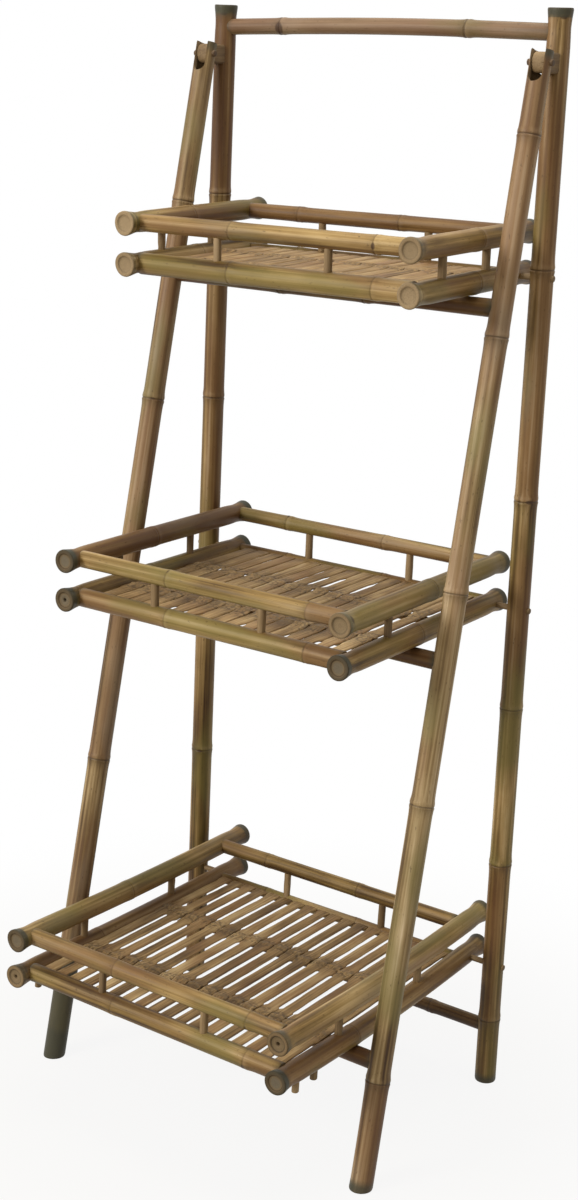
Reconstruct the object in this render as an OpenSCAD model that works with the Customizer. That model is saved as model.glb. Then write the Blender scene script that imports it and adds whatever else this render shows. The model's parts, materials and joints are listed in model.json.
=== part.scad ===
// Folding bamboo ladder shelf: a rear frame of two upright poles, a front frame of two
// legs that swings on a pin at the top of each pole, and three railed trays. Each tray
// turns on pins in the rear poles, and its side rails rest on a bar of the front frame.
// X runs to the right, Y to the back and Z up. The floor is Z = 0.

/* [Rear frame] */
// Height of the two rear poles
pole_height = 1400; // [1380:5:1500]
// Diameter of a rear pole at its foot
pole_d = 29; // [26:0.5:34]
// Diameter of a rear pole at its top
pole_top_d = 28; // [25:0.5:32]
// Distance between the axes of the two rear poles on the floor
foot_width = 504; // [440:2:560]
// Distance between the axes of the two rear poles at their tops
top_width = 484; // [430:2:560]
// Distance from the top of the poles down to the axis of the top bar
top_bar_below = 27; // [15:1:30]
// Diameter of the top bar
top_bar_d = 20; // [16:0.5:24]
// Height of the axis of the low bar
low_bar_height = 80; // [50:5:100]
// Diameter of the low bar
low_bar_d = 18; // [14:0.5:24]

/* [Front frame] */
// Diameter of a front leg at its foot
leg_d = 29.5; // [27:0.5:34]
// Diameter of a front leg at its top
leg_top_d = 27; // [26:0.5:30]
// How far the foot of a front leg stands in front of the rear poles
foot_reach = 319; // [260:1:380]
// Distance from the axis of a rear pole forward to the pin of the front leg
pivot_reach = 42; // [38:0.5:50]
// Distance from the top of the poles down to the pin of the front leg
pivot_below = 62; // [60:1:70]
// How far a leg runs on above its pin
leg_head = 14; // [10:0.5:16]
// Diameter of the bars between the front legs
front_bar_d = 22; // [16:0.5:24]

/* [Leg pivots] */
// Diameter of a pivot pin
pivot_pin_d = 8; // [6:0.5:10]
// How far a pivot pin stands out on each side of its leg
pivot_pin_proud = 3; // [1:0.5:6]
// Thickness of the tongue that the forked leg top holds
tongue_thickness = 17; // [12:0.5:18]
// Height of the tongue
tongue_height = 24; // [16:0.5:26]
// Diameter of the tenon that fixes a tongue in its pole
tongue_tenon_d = 12; // [8:0.5:14]
// Gap on each side of the tongue in the fork
fork_side_gap = 0.5; // [0.3:0.1:1]
// Depth of the fork below the pin
fork_depth = 13; // [12.5:0.5:24]
// Wall of the hollow culm at the leg top
leg_wall = 4; // [3:0.25:4.5]
// How far the open culm runs down below the fork
hollow_below_fork = 30; // [15:1:60]

/* [Tray places] */
// Height of the hinge of the top tray
top_tray_height = 1090; // [1070:1:1095]
// Height of the hinge of the middle tray
middle_tray_height = 673; // [640:1:700]
// Height of the hinge of the bottom tray
bottom_tray_height = 173; // [165:1:200]
// How far the top tray reaches in front of the rear poles
top_tray_reach = 247; // [200:1:250]
// How far the middle tray reaches in front of the rear poles
middle_tray_reach = 356; // [300:1:360]
// How far the bottom tray reaches in front of the rear poles
bottom_tray_reach = 448; // [400:1:460]
// Forward slope of the top tray in degrees
top_tray_slope = 2; // [-1:0.5:3]
// Forward slope of the middle tray in degrees
middle_tray_slope = 0; // [-2:0.5:2]
// Forward slope of the bottom tray in degrees
bottom_tray_slope = -2; // [-3:0.5:2]
// How far the top tray reaches behind the axes of the rear poles
top_tray_back = 39; // [30:0.5:45]
// How far the middle tray reaches behind the axes of the rear poles
middle_tray_back = 24; // [22:0.5:40]
// How far the bottom tray reaches behind the axes of the rear poles
bottom_tray_back = 44; // [30:0.5:50]

/* [Tray rails] */
// Diameter of the side rails
side_rail_d = 27; // [24:0.5:30]
// Gap between the top tray's side rails and the poles
side_gap = 12; // [8:0.5:20]
// Height of the upper rails above the lower rails
tray_depth = 50; // [44:1:70]
// Diameter of the upper front rail
front_upper_d = 22; // [18:0.5:24]
// Diameter of the lower front rail of the middle and bottom trays
front_lower_d = 24; // [20:0.5:26]
// Diameter of the lower front rail of the top tray
top_front_lower_d = 27; // [22:0.5:28]
// Diameter of the upper rear rail
rear_upper_d = 20; // [16:0.5:22]
// Diameter of the lower rear rail
rear_lower_d = 15; // [15:0.5:20]
// Distance from the front end of a side rail back to the front rails
front_inset = 26; // [24:0.5:40]
// Distance from the axes of the rear poles back to the rear rails of the top and middle trays
rear_rail_behind = 6.5; // [0:0.5:8]
// Distance from the axes of the rear poles forward to the rear rails of the bottom tray
rear_rail_before = 13.5; // [0:0.5:20]
// Diameter of the tenons at the ends of the front and rear rails
rail_tenon_d = 10; // [6:0.5:12]

/* [Tray spindles] */
// Diameter of the short upright spindles between the rails
spindle_d = 10; // [7:0.5:12]
// How deep a spindle is set into each rail
spindle_seat = 6; // [5:0.5:7]
// Distance between the two spindles of a front or rear side
spindle_spread = 160; // [100:5:240]
// Distance from the hinge to the front spindle of a side rail, as a share of the reach
side_spindle_front = 0.7; // [0.6:0.01:0.8]
// Distance from the hinge to the rear spindle of a side rail, as a share of the reach
side_spindle_rear = 0.28; // [0.2:0.01:0.4]

/* [Tray floor] */
// Width of a floor slat in the top and middle trays
close_slat_width = 17; // [10:0.5:18]
// Width of a floor slat in the bottom tray
open_slat_width = 14; // [8:0.5:18]
// Thickness of a floor slat
slat_thickness = 3; // [2:0.5:6]
// Distance from one slat to the next
slat_pitch = 21.5; // [19:0.5:26]
// Height of the underside of the slats above the axes of the lower rails
slat_lift = 2; // [0:0.5:3]
// Width of a batten under the slats
batten_width = 20; // [10:1:30]
// Thickness of a batten
batten_thickness = 6; // [4:0.5:8]
// Distance from the hinge to the front batten, as a share of the reach
batten_front = 0.71; // [0.6:0.01:0.8]
// Distance from the hinge to the rear batten, as a share of the reach
batten_rear = 0.34; // [0.2:0.01:0.5]

/* [Tray hinges] */
// Diameter of a tray hinge pin
hinge_pin_d = 8; // [6:0.5:10]
// How far a hinge pin stands out of the pole
hinge_pin_proud = 2; // [0:0.5:5]
// Running clearance of every pin in its bore
pin_clearance = 0.08; // [0.03:0.01:0.1]
// Gap between a tray at rest and the bar under it
rest_gap = 0.3; // [0.2:0.05:0.5]

/* [Stop pegs] */
// Diameter of the stop pegs under the bottom tray
stop_peg_d = 9; // [6:0.5:10]
// How far a stop peg stands out below its rail
stop_peg_drop = 17; // [8:1:22]
// Distance of the first stop peg from the front end of its rail
stop_peg_first = 45; // [40:1:60]
// Distance between the two stop pegs of a rail
stop_peg_spacing = 39; // [20:1:50]

/* [Bar joints] */
// Diameter of the tenons at the ends of the bars
bar_tenon_d = 14; // [8:0.5:15]
// Diameter of the nails that lock the tenons
nail_d = 4; // [3:0.5:5]
// Distance of a nail from the axis of its pole or leg
nail_inset = 6; // [4:0.5:8]
// How far a nail stands out of the culm
nail_proud = 1; // [0.5:0.25:2]

/* [Culm nodes] */
// How far a culm node stands out of the culm
ring_bulge = 1.6; // [0.8:0.2:2.5]
// Length of a culm node along the culm
ring_length = 16; // [10:1:20]
// Distance of the end nodes from the ends of a side rail
end_ring = 9; // [8.5:0.5:12]

/* [Hidden] */
$fn = 64;
TRAYS = ["top", "middle", "bottom"];
SIDES = ["left", "right"];
TRAY_PARTS = ["front_rail_upper", "front_rail_lower", "rear_rail_upper", "rear_rail_lower",
    "spindles", "battens", "slats", "hinge_pins"];

// Colours of the smoked bamboo
pole_colour = [0.50, 0.42, 0.27];
leg_colour = [0.53, 0.44, 0.29];
rail_colour = [0.48, 0.40, 0.25];
slat_colour = [0.56, 0.46, 0.29];
dowel_colour = [0.42, 0.30, 0.18];

// Heights that are set from the top of the poles
top_bar_height = pole_height - top_bar_below;
pivot_height = pole_height - pivot_below;

// Radii
pole_r = pole_d / 2;
pole_top_r = pole_top_d / 2;
leg_r = leg_d / 2;
leg_top_r = leg_top_d / 2;
side_rail_r = side_rail_d / 2;
front_bar_r = front_bar_d / 2;
cut_extra = 1;

// Places across the width, for the right-hand side: both frames narrow towards the top
foot_x = foot_width / 2;
side_lean = atan((foot_width - top_width) / 2 / pole_height);
function frame_x(z) = foot_x - z * tan(side_lean);
pivot_x = frame_x(pivot_height);
rail_x = frame_x(top_tray_height) - pole_r - side_gap - side_rail_r;

// Each tray: hinge height, reach to the front and the back, slope, width of its slats
tray_z = [top_tray_height, middle_tray_height, bottom_tray_height];
tray_reach = [top_tray_reach, middle_tray_reach, bottom_tray_reach];
tray_back = [top_tray_back, middle_tray_back, bottom_tray_back];
tray_slope = [top_tray_slope, middle_tray_slope, bottom_tray_slope];
slat_width = [close_slat_width, close_slat_width, open_slat_width];
tray_length = [for (i = [0:2]) tray_reach[i] + tray_back[i]];

// Places along a tray, measured back from its hinge
front_rail_y = [for (reach = tray_reach) front_inset - reach];
rear_rail_y = [rear_rail_behind, rear_rail_behind, -rear_rail_before];
front_low_d = [top_front_lower_d, front_lower_d, front_lower_d];

// Front legs: lean, and distance from the pin down the leg to the floor
lean = atan((foot_reach - pivot_reach) / pivot_height);
leg_drop = pivot_height / cos(lean);
leg_side_lean = atan((foot_x - pivot_x) / leg_drop);
leg_spare = leg_r * tan(lean) + cut_extra;

// Height of each front bar, on the axes of the legs and just under a culm node of each side rail
function bar_z(i) =
    let (m = tan(tray_slope[i]), t = tan(lean),
        below = (side_rail_r + ring_bulge + front_bar_r + rest_gap) / cos(tray_slope[i]))
    (tray_z[i] - m * (pivot_reach + t * pivot_height) - below) / (1 - m * t);
function bar_drop(i) = (pivot_height - bar_z(i)) / cos(lean);

// Where tray i rests on its bar, measured back from its hinge
function rest_y(i) =
    (bar_z(i) - tray_z[i]) * sin(tray_slope[i])
    - (pivot_reach + (pivot_height - bar_z(i)) * tan(lean)) * cos(tray_slope[i]);

// The origin lies under the middle of the whole depth
tray_edges = [-side_rail_r, tray_depth + side_rail_r];
function turned_y(y, z, slope) = y * cos(slope) - z * sin(slope);
front_reach = max([for (i = [0:2], z = tray_edges) -turned_y(-tray_reach[i], z, tray_slope[i])]);
rear_reach = max([for (i = [0:2], z = tray_edges) turned_y(tray_back[i], z, tray_slope[i])]);
frame_y = (front_reach - rear_reach) / 2;

// Culm nodes of each culm, as shares of its length from its lower or left end
pole_rings = [[0.079, 0.259, 0.443, 0.632, 0.829, 0.993], [0.068, 0.231, 0.387, 0.583, 0.787, 0.993]];
leg_rings = [[0.107, 0.309, 0.489, 0.664, 0.852], [0.103, 0.354, 0.541, 0.761, 0.93]];
top_bar_rings = [0.19, 0.75];
low_bar_rings = [0.3, 0.82];
front_bar_rings = [0.36, 0.62];
upper_rail_rings = [0.45, 0.52];
front_rail_rings = [0.36, 0.86];
rear_rail_rings = [0.22, 0.6];

// A straight culm along +Z, from radius r0 to r1, with a raised ring at each culm node
module culm(length, r0, r1, rings) {
    half = ring_length / 2;
    crest = half / 3;
    function radius(z) = r0 + (r1 - r0) * z / length;
    rotate_extrude()
        polygon(concat([[0, 0], [r0, 0]],
            [for (z = rings) each [[radius(z - half), z - half],
                [radius(z) + ring_bulge, z - crest], [radius(z) + ring_bulge, z + crest],
                [radius(z + half), z + half]]],
            [[r1, length], [0, length]]));
}

// A rod along X from x1 to x2
module rod_x(x1, x2, r) {
    translate([x1, 0, 0]) rotate([0, 90, 0]) cylinder(h = x2 - x1, r = r);
}

// A rod along Y from y1 to y2
module rod_y(y1, y2, r) {
    translate([0, y1, 0]) rotate([-90, 0, 0]) cylinder(h = y2 - y1, r = r);
}

// A culm across the width between hosts at +-host_x, with its ends shaped to the hosts,
// which are the children, and a tenon at each end that reaches the axis of its host
module cross_culm(host_x, r, rings, tenon_r) {
    difference() {
        translate([-host_x, 0, 0]) rotate([0, 90, 0])
            culm(2 * host_x, r, r, [for (share = rings) share * 2 * host_x]);
        children();
    }
    difference() {
        rod_x(-host_x, host_x, tenon_r);
        rod_x(-host_x + 2 * r, host_x - 2 * r, r);
    }
}

// ---- Frames that the pieces are placed in ----

module in_rear_frame() {
    translate([0, frame_y, 0]) children();
}

// Origin between the leg pins, with -Z down along the legs
module in_leg_frame() {
    translate([0, frame_y - pivot_reach, pivot_height]) rotate([-lean, 0, 0]) children();
}

// Origin between the hinge pins of tray i, with -Y forward along its rails
module in_tray_frame(i) {
    translate([0, frame_y, tray_z[i]]) rotate([tray_slope[i], 0, 0]) children();
}

module both_sides(x) {
    for (side = [-1, 1]) translate([side * x, 0, 0]) children();
}

// All the room under the floor, which the feet are trimmed to
module below_floor() {
    room = foot_width + foot_reach;
    translate([-room, -room, -room]) cube([2 * room, 2 * room, room]);
}

// ---- Rear frame ----

function sign_of(side) = 2 * side - 1;

// Plain pole, before it is trimmed to the floor; side 0 is the left one and side 1 the right one
module pole_blank(side) {
    translate([sign_of(side) * foot_x, 0, 0]) rotate([0, -sign_of(side) * side_lean, 0])
        translate([0, 0, -cut_extra])
            culm(pole_height + cut_extra, pole_r, pole_top_r,
                [for (share = pole_rings[side]) share * pole_height]);
}

// A nail from behind through a pole and the tenon in it
module rear_nail() {
    rod_y(-nail_inset, pole_r + nail_proud, nail_d / 2);
}

module place_rear_nails() {
    for (z = [low_bar_height, top_bar_height])
        translate([0, 0, z]) both_sides(frame_x(z) - nail_inset) children();
}

module rear_pole(side) {
    color(pole_colour) in_rear_frame() difference() {
        pole_blank(side);
        below_floor();
        for (z = tray_z) translate([0, 0, z])
            both_sides(frame_x(z)) rod_x(-pole_d, pole_d, hinge_pin_d / 2 + pin_clearance);
        for (z = [low_bar_height, top_bar_height]) translate([0, 0, z])
            rod_x(-frame_x(z), frame_x(z), bar_tenon_d / 2);
        translate([0, 0, pivot_height]) both_sides(pivot_x) tongue_tenon();
        place_rear_nails() rear_nail();
    }
}

module rear_bar(z, r, rings) {
    color(pole_colour) in_rear_frame() difference() {
        translate([0, 0, z])
            cross_culm(frame_x(z), r, rings, bar_tenon_d / 2)
                translate([0, 0, -z]) for (side = [0, 1]) pole_blank(side);
        place_rear_nails() rear_nail();
    }
}

module rear_nails() {
    color(dowel_colour) in_rear_frame() place_rear_nails() rear_nail();
}

// ---- Leg pivots ----

module tongue_tenon() {
    rod_y(-pole_r - cut_extra, 0, tongue_tenon_d / 2);
}

// The fixed tongue that a forked leg top turns on
module leg_tongue(side) {
    x = sign_of(side) * pivot_x;
    color(dowel_colour) in_rear_frame() difference() {
        translate([x, 0, pivot_height]) {
            difference() {
                union() {
                    translate([-tongue_thickness / 2, -pivot_reach, -tongue_height / 2])
                        cube([tongue_thickness, pivot_reach, tongue_height]);
                    translate([0, -pivot_reach, 0])
                        rod_x(-tongue_thickness / 2, tongue_thickness / 2, tongue_height / 2);
                }
                translate([-x, 0, -pivot_height]) pole_blank(side);
            }
            tongue_tenon();
        }
        translate([x, -pivot_reach, pivot_height])
            rod_x(-tongue_thickness, tongue_thickness, pivot_pin_d / 2 + pin_clearance);
    }
}

module leg_pivot_pins() {
    pin_half = leg_top_r + pivot_pin_proud;
    color(dowel_colour) in_leg_frame() both_sides(pivot_x)
        rod_x(-pin_half, pin_half, pivot_pin_d / 2);
}

// ---- Front frame ----

module leg_blank(side) {
    length = leg_drop + leg_spare + leg_head;
    translate([sign_of(side) * pivot_x, 0, 0]) rotate([0, -sign_of(side) * leg_side_lean, 0])
        translate([0, 0, leg_head - length])
            culm(length, leg_r, leg_top_r, [for (share = leg_rings[side]) share * length]);
}

// The slot through the leg top that takes the tongue, and the open culm below it
module fork_cut() {
    slot = tongue_thickness + 2 * fork_side_gap;
    translate([-slot / 2, -leg_d, -fork_depth])
        cube([slot, 2 * leg_d, fork_depth + leg_head + cut_extra]);
    translate([0, 0, -fork_depth]) rod_y(-leg_d, leg_d, slot / 2);
    translate([0, 0, -fork_depth - hollow_below_fork])
        cylinder(h = fork_depth + hollow_below_fork + leg_head + cut_extra,
            r = leg_top_r - leg_wall);
}

module front_nail() {
    rod_y(-nail_inset, leg_r + nail_proud, nail_d / 2);
}

function bar_half(i) = pivot_x + bar_drop(i) * tan(leg_side_lean);

module place_front_nails() {
    for (i = [0:2])
        translate([0, 0, -bar_drop(i)]) both_sides(bar_half(i) - nail_inset) children();
}

module front_leg(side) {
    color(leg_colour) difference() {
        in_leg_frame() difference() {
            leg_blank(side);
            both_sides(pivot_x) fork_cut();
            both_sides(pivot_x) rod_x(-leg_d, leg_d, pivot_pin_d / 2);
            for (i = [0:2]) translate([0, 0, -bar_drop(i)])
                rod_x(-bar_half(i), bar_half(i), bar_tenon_d / 2);
            place_front_nails() front_nail();
        }
        in_rear_frame() below_floor();
    }
}

module front_bar(i) {
    color(leg_colour) in_leg_frame() difference() {
        translate([0, 0, -bar_drop(i)])
            cross_culm(bar_half(i), front_bar_r, front_bar_rings, bar_tenon_d / 2)
                translate([0, 0, bar_drop(i)]) for (side = [0, 1]) leg_blank(side);
        place_front_nails() front_nail();
    }
}

module front_nails() {
    color(dowel_colour) in_leg_frame() place_front_nails() front_nail();
}

// ---- Trays ----

module side_rail_blank(i, side, z, middle_ring) {
    length = tray_length[i];
    translate([sign_of(side) * rail_x, -tray_reach[i], z])
        rotate([-90, 0, 0]) culm(length, side_rail_r, side_rail_r,
            [end_ring, middle_ring, length - end_ring]);
}

// A lower rail has a culm node where it rests on its bar
module lower_blank(i, side) {
    side_rail_blank(i, side, 0, tray_reach[i] + rest_y(i));
}

module upper_blank(i, side) {
    side_rail_blank(i, side, tray_depth, upper_rail_rings[side] * tray_length[i]);
}

// Spindles of one tray, each set into the rail below it and the rail above it
module tray_spindles(i) {
    r = spindle_d / 2;
    side_foot = side_rail_r - spindle_seat;
    both_sides(rail_x) for (share = [side_spindle_front, side_spindle_rear])
        translate([0, -share * tray_reach[i], side_foot])
            cylinder(h = tray_depth - 2 * side_foot, r = r);
    front_foot = front_low_d[i] / 2 - spindle_seat;
    front_top = tray_depth - front_upper_d / 2 + spindle_seat;
    rear_foot = rear_lower_d / 2 - spindle_seat;
    rear_top = tray_depth - rear_upper_d / 2 + spindle_seat;
    both_sides(spindle_spread / 2) {
        translate([0, front_rail_y[i], front_foot])
            cylinder(h = front_top - front_foot, r = r);
        translate([0, rear_rail_y[i], rear_foot])
            cylinder(h = rear_top - rear_foot, r = r);
    }
}

// Two hinge pins that run from the lower side rails out through the rear poles
module tray_hinge_pins(i) {
    x1 = rail_x + cut_extra;
    x2 = frame_x(tray_z[i]) + pole_r + hinge_pin_proud;
    rod_x(-x2, -x1, hinge_pin_d / 2);
    rod_x(x1, x2, hinge_pin_d / 2);
}

module tray_stop_pegs(i) {
    for (y = [stop_peg_first, stop_peg_first + stop_peg_spacing])
        translate([0, y - tray_reach[i], -side_rail_r - stop_peg_drop])
            both_sides(rail_x) cylinder(h = side_rail_r + stop_peg_drop, r = stop_peg_d / 2);
}

// Tenons of the four cross rails, which the side rails are bored for
module tray_tenons(i) {
    for (y = [front_rail_y[i], rear_rail_y[i]], z = [0, tray_depth])
        translate([0, y, z]) rod_x(-rail_x, rail_x, rail_tenon_d / 2);
}

module tray_side_rail(i, side, upper) {
    color(rail_colour) in_tray_frame(i) difference() {
        if (upper) upper_blank(i, side); else lower_blank(i, side);
        tray_tenons(i);
        tray_spindles(i);
        if (!upper) tray_hinge_pins(i);
        if (!upper && i == 2) tray_stop_pegs(i);
    }
}

module tray_cross_rail(i, y, z, d, rings) {
    color(rail_colour) in_tray_frame(i) difference() {
        translate([0, y, z])
            cross_culm(rail_x, d / 2, rings, rail_tenon_d / 2)
                translate([0, -y, -z]) for (side = [0, 1]) {
                    lower_blank(i, side);
                    upper_blank(i, side);
                }
        tray_spindles(i);
    }
}

module tray_battens(i) {
    color(slat_colour) in_tray_frame(i) difference() {
        for (share = [batten_front, batten_rear])
            translate([-rail_x, -share * tray_reach[i] - batten_width / 2,
                slat_lift - batten_thickness])
                cube([2 * rail_x, batten_width, batten_thickness]);
        for (side = [0, 1]) lower_blank(i, side);
    }
}

// Split slats from the front rail to the rear rail, their ends shaped to both
module tray_slats(i) {
    inner_width = 2 * (rail_x - side_rail_r);
    slat_gap = slat_pitch - slat_width[i];
    count = floor((inner_width - ring_bulge + slat_gap) / slat_pitch);
    first_x = -(count * slat_pitch - slat_gap) / 2;
    color(slat_colour) in_tray_frame(i) difference() {
        for (k = [0:count - 1])
            translate([first_x + k * slat_pitch, front_rail_y[i], slat_lift])
                cube([slat_width[i], rear_rail_y[i] - front_rail_y[i], slat_thickness]);
        translate([0, front_rail_y[i], 0]) tray_cross_blank(front_low_d[i], front_rail_rings);
        translate([0, rear_rail_y[i], 0]) tray_cross_blank(rear_lower_d, rear_rail_rings);
    }
}

module tray_cross_blank(d, rings) {
    translate([-rail_x, 0, 0]) rotate([0, 90, 0])
        culm(2 * rail_x, d / 2, d / 2, [for (share = rings) share * 2 * rail_x]);
}

// ---- Everything, one node at a time ----

for (side = [0, 1]) {
    s = SIDES[side];
    rear_pole(side);
    leg_tongue(side);
    front_leg(side);
}
rear_bar(top_bar_height, top_bar_d / 2, top_bar_rings);  // top_bar
rear_bar(low_bar_height, low_bar_d / 2, low_bar_rings);  // rear_low_bar
rear_nails();
leg_pivot_pins();
front_nails();
for (i = [0:2]) {
    t = str(TRAYS[i], "_tray_");
    front_bar(i);
    for (side = [0, 1]) {
        s = SIDES[side];
        tray_side_rail(i, side, true);
        tray_side_rail(i, side, false);
    }
    tray_cross_rail(i, front_rail_y[i], tray_depth, front_upper_d, front_rail_rings);
    tray_cross_rail(i, front_rail_y[i], 0, front_low_d[i], front_rail_rings);
    tray_cross_rail(i, rear_rail_y[i], tray_depth, rear_upper_d, rear_rail_rings);
    tray_cross_rail(i, rear_rail_y[i], 0, rear_lower_d, rear_rail_rings);
    color(dowel_colour) in_tray_frame(i) tray_spindles(i);
    color(dowel_colour) in_tray_frame(i) tray_hinge_pins(i);
    tray_battens(i);
    tray_slats(i);
}
color(dowel_colour) in_tray_frame(2) tray_stop_pegs(2);  // bottom_tray_stop_pegs
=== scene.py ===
# Folding ladder shelf of smoked bamboo: a rear frame of two poles, a front frame of two
# legs that swings on pins, and three railed trays with floors of split bamboo.
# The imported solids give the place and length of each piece, and the meshes here dress them.
# Metres, unless millimetres are named: X right, Y back, Z up, and the floor at Z = 0.
import json
import math
import zlib

import bpy
import numpy as np
from mathutils import Matrix
from mathutils.kdtree import KDTree


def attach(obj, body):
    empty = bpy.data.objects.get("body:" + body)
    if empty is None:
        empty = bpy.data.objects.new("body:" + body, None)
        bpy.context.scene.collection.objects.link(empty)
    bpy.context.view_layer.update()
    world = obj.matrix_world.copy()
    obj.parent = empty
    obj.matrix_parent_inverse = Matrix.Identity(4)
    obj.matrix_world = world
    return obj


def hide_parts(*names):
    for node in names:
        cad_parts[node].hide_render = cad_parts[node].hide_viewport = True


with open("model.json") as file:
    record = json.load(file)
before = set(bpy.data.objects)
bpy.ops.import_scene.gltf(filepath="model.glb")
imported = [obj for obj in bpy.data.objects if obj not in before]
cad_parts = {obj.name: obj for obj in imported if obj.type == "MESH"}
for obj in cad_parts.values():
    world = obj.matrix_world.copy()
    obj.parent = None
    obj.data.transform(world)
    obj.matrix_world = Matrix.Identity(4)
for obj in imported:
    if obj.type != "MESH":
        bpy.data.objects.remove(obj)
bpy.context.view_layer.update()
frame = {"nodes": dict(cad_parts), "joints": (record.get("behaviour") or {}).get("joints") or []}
scene = bpy.context.scene
scene.view_settings.view_transform = "Standard"


# ---- Camera ----
# A longish lens at chest height, in front of the shelf and to its right.
# It looks down a little and is turned a touch about its own line of sight.

LENS = 52.956
CAMERA_PLACE = (1.2141, -1.7520, 1.2958)
CAMERA_TURN, CAMERA_DIP, CAMERA_ROLL = 0.5942, 0.2808, 0.0401

camera_data = bpy.data.cameras.new("camera")
camera_data.sensor_fit = "VERTICAL"
camera_data.sensor_height = 36
camera_data.lens = LENS
camera_data.clip_end = 60
camera = bpy.data.objects.new("camera", camera_data)
scene.collection.objects.link(camera)
turn = Matrix.Rotation(CAMERA_TURN, 4, "Z")
tilt = Matrix.Rotation(math.radians(90) - CAMERA_DIP, 4, "X")
roll = Matrix.Rotation(CAMERA_ROLL, 4, "Z")
camera.matrix_world = Matrix.Translation(CAMERA_PLACE) @ turn @ tilt @ roll
scene.camera = camera


# ---- Studio ----
# A wide floor, an even sky, one broad lamp from the front left and a weaker one from above.
# The floor shows white and keeps a light contact shadow.


class Value:
    """A socket of a shader. Python's operators add Math nodes, and node() adds any other."""

    def __init__(self, tree, socket=None):
        self.tree = tree
        self.socket = socket

    def node(self, kind, settings=None, inputs=None, output=0):
        made = self.tree.nodes.new("ShaderNode" + kind)
        for key, value in (settings or {}).items():
            if key == "stops":
                stops = made.color_ramp.elements
                while len(stops) < len(value):
                    stops.new(1)
                for stop, (place, colour) in zip(stops, value):
                    stop.position = place
                    stop.color = (*colour, 1)
            else:
                setattr(made, key, value)
        for key, value in (inputs or {}).items():
            if isinstance(value, Value):
                self.tree.links.new(value.socket, made.inputs[key])
            else:
                made.inputs[key].default_value = value
        return Value(self.tree, made.outputs[output])

    def math(self, operation, *others):
        return self.node("Math", {"operation": operation}, dict(enumerate((self, *others))))

    def __add__(self, other):
        return self.math("ADD", other)

    def __sub__(self, other):
        return self.math("SUBTRACT", other)

    def __mul__(self, other):
        return self.math("MULTIPLY", other)

    def __rsub__(self, other):
        return self.node("Math", {"operation": "SUBTRACT"}, {0: other, 1: self})

    __radd__ = __add__
    __rmul__ = __mul__

    def smooth(self, low, high):
        """0 below low and 1 above high, with a soft step between them."""
        settings = {"interpolation_type": "SMOOTHSTEP"}
        return self.node("MapRange", settings, {"Value": self, "From Min": low, "From Max": high})

    def scaled(self, *factors):
        return self.node("VectorMath", {"operation": "MULTIPLY"}, {0: self, 1: factors})

    def noise(self, detail):
        return self.node("TexNoise", None, {"Vector": self, "Scale": 1.0, "Detail": detail})

    def mixed(self, other, share):
        """This colour with a share of another colour over it."""
        return self.node("Mix", {"data_type": "RGBA"}, {0: share, 6: self, 7: other}, output=2)


def new_material(name):
    """A new material, and a start for adding its nodes."""
    material = bpy.data.materials.new(name)
    material.use_nodes = True
    return material, Value(material.node_tree)


def new_object(name, mesh):
    made = bpy.data.objects.new(name, mesh)
    scene.collection.objects.link(made)
    return made


FLOOR_REACH = 14.0
FLOOR_COLOUR = (0.42, 0.39, 0.33, 1)
WHITE = (1, 1, 1, 1)
SKY_COLOUR = (1.0, 0.92, 0.79, 1)
SKY_STRENGTH = 0.53
LAMP_COLOUR = (1.0, 0.955, 0.88)
MIDDLE = (0, 0, 0.7)

floor_mesh = bpy.data.meshes.new("floor")
corners = [(x * FLOOR_REACH, y * FLOOR_REACH, 0)
           for x, y in ((-1, -1), (1, -1), (1, 1), (-1, 1))]
floor_mesh.from_pydata(corners, [], [(0, 1, 2, 3)])
floor = new_object("floor", floor_mesh)
floor_material, start = new_material("studio_white")
tree = floor_material.node_tree
paint = tree.nodes["Principled BSDF"]
paint.inputs["Base Color"].default_value = FLOOR_COLOUR
paint.inputs["Roughness"].default_value = 0.9
paint.inputs["Specular IOR Level"].default_value = 0.1
glow = start.node("Emission", None, {"Color": WHITE, "Strength": 1.0})
seen = start.node("LightPath")
mirrored = start.node("LightPath", output=3)
passed = start.node("LightPath", output=6)
floor_point = start.node("TexCoord", output=3)
from_middle = start.node("VectorMath", {"operation": "LENGTH"}, {0: floor_point}, 1)
# Close to the shelf the floor keeps a part of its shadow; further out it is plain white.
whiteness = ((seen + mirrored + passed).math("MINIMUM", 1.0)
             * (0.9 + 0.1 * from_middle.smooth(0.3, 0.9)))
lit = Value(tree, paint.outputs["BSDF"])
shown = start.node("MixShader", None, {0: whiteness, 1: lit, 2: glow})
tree.links.new(shown.socket, tree.nodes["Material Output"].inputs["Surface"])
floor_mesh.materials.append(floor_material)

world = bpy.data.worlds.new("studio")
scene.world = world
world.use_nodes = True
sky_tree = world.node_tree
sky = Value(sky_tree)
plain_ray = (sky.node("LightPath") + sky.node("LightPath", output=3)
             + sky.node("LightPath", output=6)).math("MINIMUM", 1.0)
soft_sky = sky.node("Background", None, {"Color": SKY_COLOUR, "Strength": SKY_STRENGTH})
white_sky = sky.node("Background", None, {"Color": WHITE, "Strength": 1.0})
both = sky.node("MixShader", None, {0: plain_ray, 1: soft_sky, 2: white_sky})
sky_tree.links.new(both.socket, sky_tree.nodes["World Output"].inputs["Surface"])


def lamp(name, place, size, power):
    """A square area lamp at place that shines at the middle of the shelf."""
    data = bpy.data.lights.new(name, "AREA")
    data.shape = "SQUARE"
    data.size = size
    data.energy = power
    data.color = LAMP_COLOUR
    made = bpy.data.objects.new(name, data)
    scene.collection.objects.link(made)
    way = np.array(MIDDLE) - place
    flat = math.hypot(way[0], way[1])
    made.rotation_euler = (math.atan2(flat, -way[2]), 0, math.atan2(-way[0], way[1]))
    made.location = place


lamp("key_lamp", (-1.7, -3.4, 2.4), 1.3, 138)
lamp("top_lamp", (0.1, 0.1, 4.0), 2.0, 75)


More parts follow.
